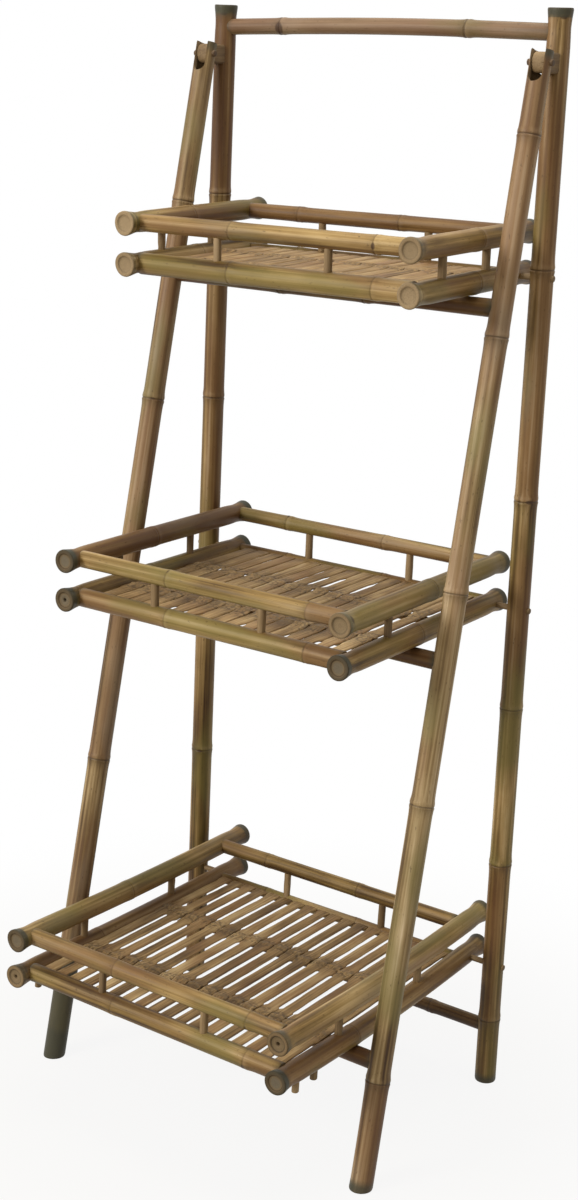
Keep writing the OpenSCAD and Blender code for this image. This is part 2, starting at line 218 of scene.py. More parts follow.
# ---- Rear poles ----
# Two whole culms of smoked bamboo, cut flat at the foot and just above a node at the top.
# Everything else hangs from them: the tray pins, the leg tongues and both rear bars.

MM = 0.001
SIDES = ("left", "right")
COLUMNS = 40
NODE_BULGE = 1.6 * MM
ROW_STEP = 11 * MM
NODE_ROWS = MM * np.array((
    -18, -13, -9.5, -7, -5.6, -4.6, -3.8, -3.2, -2.7, -2.2, -1.8, -1.4, -1.1, -0.8, -0.5,
    -0.2, 0.2, 0.6, 1.1, 1.7, 2.3, 3, 3.8, 4.7, 6, 8, 11, 15, 19))
CHAMFER = 1.3 * MM
WALL = 4.2 * MM
MEMBRANE_DEPTH = 1.4 * MM
PITH_HOLE = 2.1 * MM
END_NODE = 12 * MM
FOOT_BLEND = 30 * MM
EYE_SIZE = 2.8 * MM
STAIN_SIZE = 5.5 * MM
# Millimetres, as the gaps to a node and to a rim are on the meshes.
FAR_GAP = 40.0
# The rim gap at a joint, which keeps the painted shade faint where a culm runs into another.
JOINT_SHADE_RIM = 14.0


def solid_points(node):
    """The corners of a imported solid's mesh."""
    return np.array([v.co for v in frame["nodes"][node].data.vertices])


def unit(vector):
    return vector / np.linalg.norm(vector)


def end_of(points, way, near=0.3 * MM):
    """Middle of the end face that looks along way."""
    reach = points @ way
    face = points[reach > reach.max() - near]
    return (face.min(0) + face.max(0)) / 2


class Axis:
    """The line, the radii and the node places of a culm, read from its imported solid.
    One that stands is cut level at its foot, and one with tenons has its radius taken from
    its node rings."""

    def __init__(self, node, way, stands=False, tenons=False):
        points = solid_points(node)
        way = np.array(way, float)
        down = np.array((0, 0, -1.0))
        for near in (2.5 * MM, 0.3 * MM, 0.3 * MM, 0.3 * MM):
            self.low = end_of(points, down) if stands else end_of(points, -way, near)
            self.high = end_of(points, way, near)
            way = unit(self.high - self.low)
        self.way = way
        self.length = np.linalg.norm(self.high - self.low)
        along = (points - self.low) @ way
        across = np.linalg.norm(points - self.low - np.outer(along, way), axis=1)
        if tenons:
            self.radii = (across.max() - NODE_BULGE,) * 2
        else:
            edge = 0.5 * MM
            foot = across[along < max(edge, along.min() + edge)]
            self.radii = (np.sort(foot)[len(foot) // 2], across[along > self.length - edge].max())
        surface = np.interp(along, (0, self.length), self.radii)
        crest = np.sort(along[across > surface + 0.6 * NODE_BULGE])
        groups = np.split(crest, np.nonzero(np.diff(crest) > 12 * MM)[0] + 1)
        self.nodes = [(group.min() + group.max()) / 2 for group in groups if len(group)]


def node_shape(gap):
    """Height of the skin around a node: a swelling, the sheath scar and the ridge above it."""
    g = gap / MM
    swelling = 0.65 * np.exp(-(g / 8.5) ** 2)
    ridge = 0.3 * np.exp(-(((g - 3.4) / 2.4) ** 2))
    lip = 0.3 * np.exp(-(((g + 2.4) / 1.6) ** 2))
    scar = 0.45 * np.exp(-(((g + 0.4) / 0.8) ** 2))
    return (swelling + ridge + lip - scar) * MM


def smooth_steps(values, low, high):
    share = np.clip((values - low) / (high - low), 0, 1)
    return share * share * (3 - 2 * share)


def cap_rows(radius, hole):
    """Profile of a cut end, from the skin inwards, as pairs of a radius and a depth."""
    inner = radius - WALL
    rows = [(radius - 0.25 * CHAMFER, 0.3 * CHAMFER), (radius - 0.7 * CHAMFER, 0.05 * CHAMFER),
            (radius - CHAMFER, 0), (inner + 0.4 * MM, 0), (inner, 0.3 * MM),
            (inner - 0.5 * MM, MEMBRANE_DEPTH), (inner * 0.6, 1.15 * MEMBRANE_DEPTH)]
    if hole:
        rows += [(PITH_HOLE * 1.2, 1.2 * MEMBRANE_DEPTH), (PITH_HOLE, 2 * MEMBRANE_DEPTH),
                 (PITH_HOLE * 0.9, 6 * MEMBRANE_DEPTH)]
    else:
        rows += [(inner * 0.25, 1.25 * MEMBRANE_DEPTH)]
    return rows


def skin_over(grid, layers):
    """A closed skin over rows of points that each run once round, with named layers of values."""
    rows, columns = grid.shape[:2]
    last = (rows - 1) * columns
    middle = rows * columns

    def with_middles(values):
        flat = np.asarray(values, float).reshape(middle, -1)
        return np.vstack([flat, flat[:columns].mean(0), flat[last:].mean(0)])

    here = np.arange(columns)
    after = (here + 1) % columns
    base = np.arange(rows - 1)[:, None] * columns
    above = base + columns
    quads = np.stack([base + here, base + after, above + after, above + here], -1)
    faces = quads.reshape(-1, 4).tolist()
    faces += [(middle, b, a) for a, b in zip(here.tolist(), after.tolist())]
    faces += [(middle + 1, last + a, last + b) for a, b in zip(here.tolist(), after.tolist())]
    return with_middles(grid), faces, {key: with_middles(layer) for key, layer in layers.items()}


def mesh_of(name, skins):
    """One mesh of several skins, shaded smooth, with their layers as attributes."""
    mesh = bpy.data.meshes.new(name)
    faces, count = [], 0
    for points, own, _ in skins:
        faces += [tuple(corner + count for corner in face) for face in own]
        count += len(points)
    mesh.from_pydata(np.vstack([points for points, _, _ in skins]).tolist(), [], faces)
    for key in skins[0][2]:
        set_layer(mesh, key, np.vstack([layers[key] for _, _, layers in skins]))
    mesh.polygons.foreach_set("use_smooth", [True] * len(mesh.polygons))
    mesh.update()
    return mesh


def set_layer(mesh, key, values):
    """Writes an attribute of the points: numbers, or vectors where there are three columns."""
    kind, field = ("FLOAT_VECTOR", "vector") if values.shape[-1] == 3 else ("FLOAT", "value")
    layer = mesh.attributes.get(key) or mesh.attributes.new(key, kind, "POINT")
    layer.data.foreach_set(field, np.asarray(values, np.float32).ravel())


def bored_rows(radius, bore):
    """Profile of a cut end that is bored open to a depth."""
    inner, depth = bore
    return [(radius - 0.25 * CHAMFER, 0.3 * CHAMFER), (radius - 0.6 * CHAMFER, 0),
            (inner + 0.4 * MM, 0), (inner, 0.5 * MM), (inner, 0.5 * depth), (inner, depth - MM),
            (inner - MM, depth), (inner * 0.4, depth + MM)]


def culm_mesh(name, low, high, radii, nodes, holes=(False, False), bow=(0, 0, 0), reach=None,
              bore=None, flare=(0, 0), tones=None, ridge=1.0, warmth=0.0, stands=False,
              stain=None):
    """A culm from low to high that grows towards high, uneven in the round, with a flat on
    each length and a bud eye at each node. holes says which ends show a pith hole, bow is how
    far its middle lies off the straight line, and bore is the radius and depth of an opening at
    the upper end. reach is how far each end runs on inside another culm, where no end shows;
    flare is how far a knob at each end swells; ridge is how much the nodes stand out. tones is
    how light each length between nodes is, and warmth is how red it is, or how green where it
    is negative. A culm that stands has its lower end cut level with the floor. stain is the
    node and the angle of a large dark spot."""
    draw = np.random.default_rng(zlib.crc32(name.encode()))
    length = np.linalg.norm(high - low)
    way = (high - low) / length
    steps = np.linspace(0, length, max(3, round(length / ROW_STEP)) + 1)
    places = np.unique(np.concatenate([steps, *[node + NODE_ROWS for node in nodes]]))
    first, last = 1.3 * CHAMFER, length - 1.3 * CHAMFER
    places = places[(places > first + 0.3 * MM) & (places < last - 0.3 * MM)]
    places = places[np.concatenate([[True], np.diff(places) > 0.12 * MM])]
    places = np.concatenate([[first], places, [last]])

    angle = np.arange(COLUMNS) / COLUMNS * 2 * math.pi
    t, a = np.meshgrid(places, angle, indexing="ij")
    radius = np.interp(t, (0, length), radii)
    gap = np.full(len(places), FAR_GAP * MM)
    side = np.full(len(places), -1.0)
    piece = np.zeros(len(places))
    ringed = [END_NODE < node < length - END_NODE for node in nodes]
    for node, ring in zip(nodes, ringed):
        if ring:
            gap = np.minimum(gap, np.abs(places - node))
    for node, ring in zip(nodes, ringed):
        nearest = np.abs(places - node) <= gap + 1e-9
        side[nearest] = np.clip((places[nearest] - node) / (0.5 * MM), -1, 1)
        piece += smooth_steps(places, node - 0.4 * MM, node + 0.4 * MM)
        tilted = t - node - 0.5 * MM * np.sin(a + draw.uniform(0, 6.28))
        radius += node_shape(tilted) * draw.uniform(0.85, 1.15) * ring * ridge
    # The flat where a branch lay in its bud, which changes sides from length to length.
    bounds = [0, *nodes, length]
    bud = draw.uniform(0, 2 * math.pi)
    mark = 0 * t
    for i in range(len(bounds) - 1):
        facing = np.exp(3.5 * (np.cos(a - bud - i * math.pi) - 1))
        fade = smooth_steps(t, bounds[i] + 3 * MM, bounds[i] + 14 * MM)
        fade *= 1 - smooth_steps(t, bounds[i] + 0.35 * length / len(bounds), bounds[i + 1])
        radius -= 0.55 * MM * facing * fade
        if i:
            strength, size, sharp = draw.uniform(0.2, 1.1), EYE_SIZE, 4
            if stain and stain[0] == i - 1:
                facing = np.exp(3.5 * (np.cos(a - stain[1]) - 1))
                strength, size, sharp = 1.4, STAIN_SIZE, 1
            mark += strength * facing ** sharp * np.exp(-(((t - bounds[i]) / size) ** 2))
    radius += 0.012 * radii[0] * np.cos(2 * a + draw.uniform(0, 6.28) + 3 * t)
    radius += 0.008 * radii[0] * np.cos(3 * a + draw.uniform(0, 6.28) - 11 * t)

    for swell, from_end in zip(flare, (t / MM, (length - t) / MM)):
        waist = 0.5 * np.exp(-(((from_end - 24) / 10) ** 2))
        radius += swell * (np.exp(-(from_end / 9) ** 2) - waist)

    rings = [(t[k], radius[k], 0 * a[k]) for k in range(len(places))]
    caps = []
    for end, hole in ((0, holes[0]), (1, holes[1])):
        flesh = radius[-end].copy()
        mean = radii[end]
        face = []
        for wide, deep in bored_rows(mean, bore) if bore and end else cap_rows(mean, hole):
            ragged = 0.25 * MM * np.sin(2 * angle + end) * (wide / mean)
            at = (length - deep if end else deep) + ragged * (1 if end else -1)
            share = 0.1 + 0.9 * (1 - wide / mean)
            face.append((at, flesh * wide / mean, np.full(COLUMNS, share)))
        caps.append(face)
    rings = caps[0][::-1] + rings + caps[1]
    at = np.array([r[0] for r in rings])
    wide = np.array([r[1] for r in rings])
    cut = np.array([r[2] for r in rings])

    def per_ring(values):
        padded = np.concatenate([[values[0]] * len(caps[0]), values, [values[-1]] * len(caps[1])])
        return np.repeat(padded[:, None], COLUMNS, 1)

    across = unit(np.cross(way, (0.3, 0.2, 0.9) if abs(way[2]) < 0.9 else (0, 1, 0)))
    other = np.cross(way, across)
    x, y = wide * np.cos(angle), wide * np.sin(angle)
    outward = x[..., None] * across + y[..., None] * other
    if stands:
        at = at - outward[..., 2] / way[2] * (1 - smooth_steps(at, 0, FOOT_BLEND))
    sway = np.sin(math.pi * np.clip(at / length, 0, 1))[..., None] * np.array(bow)
    grid = low + at[..., None] * way + outward + sway
    grain = np.stack([x, y, at + draw.uniform(1, 40)], -1)
    drawn = draw.uniform(0, 1, len(nodes) + 1)
    tone = np.interp(piece, np.arange(len(drawn)), drawn if tones is None else tones)
    warm = np.interp(piece, np.arange(len(drawn)), np.broadcast_to(warmth, len(drawn)))
    rim = np.minimum(at, length - at) / MM
    # Where a culm runs into another, the rim gap starts higher, so the dark colour there is only a
    # faint painted shade.
    if reach is not None:
        rim = rim + JOINT_SHADE_RIM - reach / MM
    return mesh_of(name, [skin_over(grid, {
        "grain": grain, "node_gap": per_ring(gap / MM), "node_side": per_ring(side),
        "tone": per_ring(tone), "warm": per_ring(warm), "rim_gap": np.clip(rim, 0, FAR_GAP),
        "cut": cut, "mark": np.pad(mark, ((len(caps[0]), len(caps[1])), (0, 0)))})])


def attribute(start, name, output=2):
    """A layer of the mesh: output 2 is a number and 1 is a vector."""
    return start.node("Attribute", {"attribute_name": name}, output=output)


def finish_surface(material, colour, roughness, height, depth, gloss):
    """Joins colour, roughness and relief to the shader."""
    surface = material.node_tree.nodes["Principled BSDF"]
    relief = height.node("Bump", None, {"Height": height, "Distance": depth, "Strength": 1.0})
    for socket, value in (("Base Color", colour), ("Roughness", roughness), ("Normal", relief)):
        material.node_tree.links.new(value.socket, surface.inputs[socket])
    surface.inputs["Specular IOR Level"].default_value = gloss


DEEP_RED = (0.075, 0.034, 0.014, 1)
SPECK_BROWN = (0.04, 0.02, 0.008, 1)
SMOKE_BROWN = (0.065, 0.042, 0.018, 1)
BLOOM_PALE = (0.42, 0.32, 0.20, 1)
SCAR_BROWN = (0.035, 0.020, 0.010, 1)
EYE_BROWN = (0.040, 0.018, 0.008, 1)
SOOT_AND_JOINT_SHADE = (0.052, 0.050, 0.032, 1)
FACE_PALE = (0.40, 0.30, 0.18, 1)
FACE_ASH = (0.115, 0.105, 0.080, 1)
FACE_SOOT = (0.028, 0.027, 0.018, 1)
BUNDLE_BROWN = (0.05, 0.032, 0.015, 1)
# The rings of a cut face, from the rim to the middle.
FACE_RINGS = (
    (0.10, (0.050, 0.034, 0.016)), (0.16, (0.125, 0.085, 0.042)), (0.28, (0.19, 0.13, 0.066)),
    (0.38, (0.15, 0.10, 0.05)), (0.43, (0.045, 0.03, 0.014)), (0.50, (0.14, 0.10, 0.052)),
    (0.80, (0.17, 0.12, 0.065)), (1.0, (0.06, 0.04, 0.02)))


def culm_material(name, shades, blush_colour, moss_colour, haze_colour, scar_share=1.0):
    """Smoked culm: brown patches with red, green and hazy ones over them, broad and narrow
    streaks that are partly painted highlight and shade, fine fibres, a faint dark scar at each
    node, sooty ends with a faint painted shade where a culm runs into another, and ringed cut
    faces."""
    material, start = new_material(name)
    grain = attribute(start, "grain", 1)
    above = attribute(start, "node_side").smooth(-1, 1)
    gap, tone, warm, rim, cut = [attribute(start, key) for key in (
        "node_gap", "tone", "warm", "rim_gap", "cut")]
    patch = grain.scaled(34, 34, 9).noise(detail=4)
    blush = grain.scaled(-26, 30, 4).noise(detail=2)
    # The broad streaks, and partly the narrow ones, are the culm's own two-tone and also painted
    # highlight and shade along its length.
    broad_tone_and_sheen = grain.scaled(75, 75, 1.7).noise(detail=1)
    streak = grain.scaled(210, 210, 2.6).noise(detail=3)
    fibre = grain.scaled(1300, 1300, 16).noise(detail=3)
    speck = grain.scaled(420, 420, 150).noise(detail=2)
    level = ((patch - 0.5) * 1.1 + (tone - 0.5) * 0.8 + (broad_tone_and_sheen - 0.5) * 1.5 + (streak - 0.5) * 1.5
             + (fibre - 0.5) * 0.4 + 0.5)
    colour = level.node("ValToRGB", {"stops": shades}, {"Fac": level})
    red = (blush + broad_tone_and_sheen * 0.5 - tone * 0.2 + warm * 0.25).smooth(0.55, 0.85) * 0.7
    colour = colour.mixed(blush_colour, red * (0.55 + 0.45 * tone))
    colour = colour.mixed(DEEP_RED, red * (1 - tone) * 0.6)
    green = (grain.scaled(-19, -17, 6).noise(detail=2) - warm * 0.14).smooth(0.48, 0.68) * 0.65
    colour = colour.mixed(moss_colour, green)
    bloom_patch = grain.scaled(24, -28, 5).noise(detail=3).smooth(0.56, 0.72)
    colour = colour.mixed(haze_colour, bloom_patch * 0.3)
    colour = colour.mixed(SPECK_BROWN, speck.smooth(0.66, 0.74) * 0.5)
    smoke = (1 - above) * (1 - gap.smooth(0.5, 16)) * (0.3 * scar_share)
    colour = colour.mixed(SMOKE_BROWN, smoke)
    bloom = (above * gap.smooth(0.8, 2.4) * (1 - gap.smooth(3, 9))
             * (patch.smooth(0.35, 0.65) * 0.15))
    colour = colour.mixed(BLOOM_PALE, bloom)
    scar = 1 - gap.smooth(0.4, 1.5)
    colour = colour.mixed(SCAR_BROWN, scar * (0.25 + 0.5 * streak) * scar_share)
    eye = attribute(start, "mark").smooth(0.25, 0.7) * 0.8
    colour = colour.mixed(EYE_BROWN, eye)
    # Soot and painted shade: cut ends turn sooty near the rim, and where a culm runs into another
    # the same mask paints a faint shade at the joint.
    soot_and_joint_shade = (1 - (rim * (0.5 + tone)).smooth(4, 15)) * (0.35 + 0.9 * patch) * (1.3 - 0.75 * tone)
    colour = colour.mixed(SOOT_AND_JOINT_SHADE, soot_and_joint_shade)
    face = cut.node("ValToRGB", {"stops": FACE_RINGS}, {"Fac": cut})
    face = face.mixed(FACE_PALE, tone.smooth(0.45, 1.0) * (0.45 + 0.4 * patch))
    sooty = face.mixed(FACE_ASH, cut.smooth(0.45, 0.7) * 0.7)
    sooty = sooty.mixed(FACE_SOOT, (1 - cut.smooth(0.3, 0.45)) * 0.75)
    face = face.mixed(sooty, 1 - tone.smooth(0.1, 0.45))
    bundles = grain.scaled(1500, 1500, 60).noise(detail=1).smooth(0.5, 0.7) * 0.5
    face = face.mixed(BUNDLE_BROWN, bundles)
    colour = colour.mixed(face, cut.smooth(0.03, 0.09))
    roughness = 0.30 + 0.3 * fibre + 0.25 * cut.smooth(0.03, 0.09) + 0.1 * patch
    height = fibre * 0.35 + streak * 0.5 + speck * 0.2
    finish_surface(material, colour, roughness, height, 0.3 * MM, 0.25)
    return material


POLE_SHADES = (
    (0.0, (0.040, 0.019, 0.006)), (0.25, (0.108, 0.063, 0.020)), (0.5, (0.206, 0.133, 0.048)),
    (0.75, (0.35, 0.240, 0.108)), (1.0, (0.57, 0.44, 0.26)))
pole_material = culm_material("smoked_pole", POLE_SHADES, (0.180, 0.084, 0.032, 1),
                              (0.150, 0.128, 0.036, 1), (0.225, 0.190, 0.125, 1))


def place(name, mesh, material, body, slot, *nodes):
    """Puts a mesh in the scene as the piece that stands for the named solids."""
    if material:
        mesh.materials.append(material)
    made = new_object(name, mesh)
    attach(made, body)
    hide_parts(*nodes)


POLE_FLARE = (0, 1.2 * MM)
TOP_NODE = 5 * MM
POLE_TONES = {"left": (0.35, 0.45, 0.45, 0.42, 0.4, 0.24, 0.2),
              "right": (0.38, 0.45, 0.47, 0.45, 0.58, 0.55, 0.25)}
POLE_WARMTH = {"left": (0, 0, 0.1, 0.3, 0.5, 1.1, -0.3),
               "right": (-0.3, 0.2, -0.8, -0.3, 0.4, 0.4, -0.5)}
UP, RIGHT, BACK = (0, 0, 1), (1, 0, 0), (0, 1, 0)
poles = {}
for side in SIDES:
    node = "rear_pole_" + side
    pole = poles[side] = Axis(node, UP, stands=True)
    nodes = [min(at, pole.length - TOP_NODE) for at in pole.nodes]
    mesh = culm_mesh(node + "_culm", pole.low, pole.high, pole.radii, nodes, flare=POLE_FLARE,
                     tones=POLE_TONES[side], warmth=POLE_WARMTH[side], stands=True)
    place(node + "_culm", mesh, pole_material, "rear_frame", "pole_bamboo", node)


# ---- Bars of the rear frame ----
# Two thinner culms across the back, one near the top and one near the floor.
# Their tenons sit in the poles under a nail; the top one bows upwards.

HIDDEN_END = 7 * MM
TOP_BAR_BOW = 3.5 * MM


def cross_culm(node, material, body, slot, host_radius, bow=(0, 0, 0), tones=None, ridge=1.0,
               warmth=0.0, stain=None):
    """A culm between two hosts, which runs on inside them almost to its tenons' ends."""
    line = Axis(node, RIGHT, tenons=True)
    low, high = line.low + HIDDEN_END * line.way, line.high - HIDDEN_END * line.way
    nodes = [at - HIDDEN_END for at in line.nodes]
    mesh = culm_mesh(node + "_culm", low, high, line.radii, nodes, bow=bow,
                     reach=host_radius - HIDDEN_END, tones=tones, ridge=ridge, warmth=warmth,
                     stain=stain)
    place(node + "_culm", mesh, material, body, slot, node)


bar_material = culm_material("smoked_bar", (
    (0.0, (0.052, 0.029, 0.013)), (0.25, (0.112, 0.070, 0.034)), (0.5, (0.178, 0.117, 0.066)),
    (0.75, (0.25, 0.170, 0.103)), (1.0, (0.35, 0.26, 0.17))),
    (0.200, 0.110, 0.065, 1), (0.135, 0.112, 0.040, 1), (0.24, 0.20, 0.15, 1))
pole_radius = poles["right"].radii[1]
cross_culm("top_bar", bar_material, "rear_frame", "pole_bamboo", pole_radius, (0, 0, TOP_BAR_BOW),
           (0.3, 0.42, 0.48), stain=(0, 0.6))
cross_culm("rear_low_bar", pole_material, "rear_frame", "pole_bamboo", pole_radius,
           tones=(0.25, 0.3, 0.25), warmth=0.3)


# ---- Front legs ----
# Two culms that taper upwards. Each is bored open from its top end and sawn to a fork, which
# takes the tongue of the pole. The sawn faces show the pale wall of the culm.

FORK_HALF = 9 * MM
FORK_BELOW_PIN = {"front": 15 * MM, "back": 2.5 * MM}
FORK_ROOM = 30 * MM
BORE_RADIUS = 9.5 * MM
BORE_DEPTH = 57 * MM
WALL_SHADES = (
    (0.0, (0.12, 0.078, 0.042)), (0.5, (0.27, 0.195, 0.115)), (1.0, (0.42, 0.33, 0.21)))

legs = {side: Axis("front_leg_" + side, UP, stands=True) for side in SIDES}
leg_back = unit(np.cross(legs["left"].way, RIGHT))
leg_up = np.cross(RIGHT, leg_back)


def solids_of(node):
    """The separate solids of a node, each as its corner points."""
    mesh = frame["nodes"][node].data
    points, name = np.unique(np.round(solid_points(node), 6), axis=0, return_inverse=True)
    ends = name.reshape(-1)[np.array([edge.vertices for edge in mesh.edges])]
    label = np.arange(len(points))
    while True:
        lowest = label.copy()
        np.minimum.at(lowest, ends[:, 0], label[ends[:, 1]])
        np.minimum.at(lowest, ends[:, 1], label[ends[:, 0]])
        if (lowest == label).all():
            return [points[label == k] for k in np.unique(label)]
        label = lowest


def culm_wall_material(name):
    """The sawn wall of a culm: pale, fibrous, greyed by handling."""
    material, start = new_material(name)
    grain = attribute(start, "grain", 1)
    patch = grain.scaled(70, 70, 50).noise(detail=3)
    fibre = grain.scaled(1500, 1500, 60).noise(detail=3)
    level = (patch - 0.5) * 1.0 + (fibre - 0.5) * 0.9 + 0.5
    colour = level.node("ValToRGB", {"stops": WALL_SHADES}, {"Fac": level})
    finish_surface(material, colour, 0.6 + 0.2 * fibre, fibre, 0.2 * MM, 0.25)
    return material


def fork_cutter(pin, end):
    """A bar with a round underside that opens the leg top at its front or its back."""
    turn = np.linspace(math.pi, 2 * math.pi, 17)
    drop = FORK_BELOW_PIN[end]
    outline = [(FORK_HALF * math.cos(a), FORK_HALF * math.sin(a) - drop) for a in turn]
    outline += [(FORK_HALF, FORK_ROOM), (-FORK_HALF, FORK_ROOM)]
    count = len(outline)
    ring = [pin + x * np.array(RIGHT) + z * leg_up for x, z in outline]
    depths = (0.3 * MM, -FORK_ROOM) if end == "front" else (FORK_ROOM, -0.3 * MM)
    points = [point + depth * leg_back for depth in depths for point in ring]
    faces = [(k, (k + 1) % count, count + (k + 1) % count, count + k) for k in range(count)]
    faces += [tuple(reversed(range(count))), tuple(range(count, 2 * count))]
    mesh = bpy.data.meshes.new("fork_cutter")
    mesh.from_pydata([point.tolist() for point in points], [], faces)
    return mesh


def cut_away(mesh, cutter_mesh, wall_material):
    """Takes the cutter's room out of a mesh; the new faces get the wall material."""
    target, cutter = new_object("target", mesh), new_object("cutter", cutter_mesh)
    cutter_mesh.materials.append(wall_material)
    tool = target.modifiers.new("cut", "BOOLEAN")
    tool.operation, tool.solver, tool.object = "DIFFERENCE", "EXACT", cutter
    tool.material_mode = "TRANSFER"
    bpy.context.view_layer.update()
    solved = target.evaluated_get(bpy.context.evaluated_depsgraph_get())
    result = bpy.data.meshes.new_from_object(solved)
    bpy.data.objects.remove(target)
    bpy.data.objects.remove(cutter)
    return result


def refill(mesh, old, leg):
    """Gives the points of a cut leg the layers of the whole leg that they came from."""
    corners = np.array([v.co for v in mesh.vertices])
    before = np.array([v.co for v in old.vertices])
    tree = KDTree(len(before))
    for k, point in enumerate(before):
        tree.insert(point, k)
    tree.balance()
    source = np.array([tree.find(point)[1] for point in corners])
    moved = np.linalg.norm(corners - before[source], axis=1) > 0.01 * MM
    along = (corners - leg.low) @ leg.way
    wide = np.linalg.norm(corners - leg.low - np.outer(along, leg.way), axis=1)
    skin = (wide > leg.radii[1] - 1.2 * MM) & (along < leg.length - 1.2 * MM)
    for name in ("grain", "node_gap", "node_side", "tone", "warm", "rim_gap", "cut", "mark"):
        field, size = ("vector", 3) if name == "grain" else ("value", 1)
        values = np.zeros(len(before) * size, np.float32)
        old.attributes[name].data.foreach_get(field, values)
        values = values.reshape(-1, size)
        fresh = values[source]
        if name == "grain":
            here = np.column_stack([before, np.ones(len(before))])
            fit = np.linalg.lstsq(here, values, rcond=None)[0]
            fresh[moved] = np.column_stack([corners, np.ones(len(corners))])[moved] @ fit
        if name == "cut":
            share = 0.1 + 0.9 * (1 - wide / leg.radii[1])
            fresh[moved, 0] = np.where(skin, 0, share)[moved]
        set_layer(mesh, name, fresh)


LEG_SHADES = (
    (0.0, (0.058, 0.031, 0.013)), (0.25, (0.142, 0.088, 0.036)), (0.5, (0.262, 0.182, 0.086)),
    (0.75, (0.41, 0.305, 0.172)), (1.0, (0.60, 0.48, 0.32)))
LEG_WARMTH = {"left": (-0.4, 0, 0.8, 0.5, 0, -0.2), "right": (0.5, -0.4, -0.1, 0.2, 0.6, 0.3)}
LEG_TONES = {"left": (-0.3, 0.4, 0.42, 0.52, 0.5, 0.42),
             "right": (0.4, 0.5, 0.5, 0.58, 0.58, 0.42)}
leg_material = culm_material("smoked_leg", LEG_SHADES, (0.240, 0.128, 0.064, 1),
                             (0.185, 0.158, 0.060, 1), (0.285, 0.245, 0.185, 1))
wall_material = culm_wall_material("culm_wall")
pins = sorted(solids_of("leg_pivot_pins"), key=lambda points: points[:, 0].mean())
for side, pin in zip(SIDES, pins):
    node = "front_leg_" + side
    leg = legs[side]
    whole = culm_mesh(node + "_culm", leg.low, leg.high, leg.radii, leg.nodes,
                      bore=(BORE_RADIUS, BORE_DEPTH), tones=LEG_TONES[side],
                      warmth=LEG_WARMTH[side], stands=True)
    whole.materials.append(leg_material)
    mesh = whole
    for end in FORK_BELOW_PIN:
        mesh = cut_away(mesh, fork_cutter((pin.min(0) + pin.max(0)) / 2, end), wall_material)
    refill(mesh, whole, leg)
    mesh.set_sharp_from_angle(angle=math.radians(38))
    place(node + "_culm_piece", mesh, None, "front_frame", "pole_bamboo", node)


# ---- Bars of the front frame ----
# Three culms between the legs, one under each tray, which rests on it when it is down.
# Their tenons sit in the legs and are locked there by nails.

TRAYS = ("top", "middle", "bottom")
leg_radius = legs["right"].radii[1]
for tray in TRAYS:
    cross_culm("front_bar_" + tray, pole_material, "front_frame", "pole_bamboo", leg_radius,
               tones=(0.3, 0.25, 0.22), warmth=0.4)


# ---- Side rails of the trays ----
# Short thick culms, two on each side of a tray, one above the other.
# They are cut just outside a node at both ends, so each ends in a knob.

RAIL_RIDGE = 0.6
RAIL_SHADES = (
    (0.0, (0.050, 0.025, 0.007)), (0.25, (0.130, 0.078, 0.022)), (0.5, (0.242, 0.156, 0.052)),
    (0.75, (0.38, 0.264, 0.110)), (1.0, (0.55, 0.41, 0.22)))
KNOB_FLARE = (1.7 * MM, 1.7 * MM)
# How light the front knob, front half, rear half and rear knob of each rail are.
RAIL_TONES = {
    "top_upper_left": (0.9, 0.35, 0.3, 0.3), "top_upper_right": (0.75, 0.5, 0.45, 0.2),
    "top_lower_left": (0.8, 0.5, 0.4, 0.3), "top_lower_right": (0.85, 0.5, 0.5, 0.3),
    "middle_upper_left": (0.15, 0.3, 0.3, 0.15), "middle_upper_right": (0.65, 0.5, 0.5, 0.35),
    "middle_lower_left": (0.2, 0.3, 0.3, 0.15), "middle_lower_right": (0.15, 0.52, 0.5, 0.35),
    "bottom_upper_left": (0.2, 0.52, 0.48, 0.15), "bottom_upper_right": (0.45, 0.5, 0.5, 0.4),
    "bottom_lower_left": (0.6, 0.35, 0.35, 0.15), "bottom_lower_right": (0.0, 0.42, 0.45, 0.3)}
RAIL_WARMTH = {"middle_upper_left": 0.9, "bottom_lower_left": 1.0, "middle_lower_right": 0.2,
               "bottom_lower_right": 0.3, "top_upper_right": 0.1}
RAIL_GREEN = -0.2
# The rails whose front end shows a pith hole. Every rear end has one.
PITHY_ENDS = ("bottom_upper_right", "bottom_lower_left", "middle_lower_left")
# The side rails of the bottom tray sag a little, the right ones more.
RAIL_SAG = {"left": (0, 0, -3.5 * MM), "right": (1.5 * MM, 0, -5.5 * MM)}
RAIL_SCAR = 0.55
rail_material = culm_material("smoked_rail", RAIL_SHADES, (0.205, 0.106, 0.046, 1),
                              (0.168, 0.138, 0.036, 1), (0.245, 0.200, 0.130, 1), RAIL_SCAR)
rails = {}
for tray in TRAYS:
    for level in ("upper", "lower"):
        for side in SIDES:
            node = f"{tray}_tray_{level}_rail_{side}"
            key = f"{tray}_{level}_{side}"
            rail = rails[tray, level, side] = Axis(node, BACK)
            mesh = culm_mesh(node + "_culm", rail.low, rail.high, rail.radii, rail.nodes,
                             bow=RAIL_SAG[side] if tray == "bottom" else (0, 0, 0),
                             tones=RAIL_TONES[key], ridge=RAIL_RIDGE, flare=KNOB_FLARE,
                             warmth=RAIL_WARMTH.get(key, RAIL_GREEN),
                             holes=(key in PITHY_ENDS, True))
            place(node + "_culm", mesh, rail_material, tray + "_tray", "rail_bamboo", node)


# ---- Front and rear rails of the trays ----
# Thinner culms across the front and back of each tray, an upper and a lower one.
# They butt against the side rails, and their tenons sit in them.

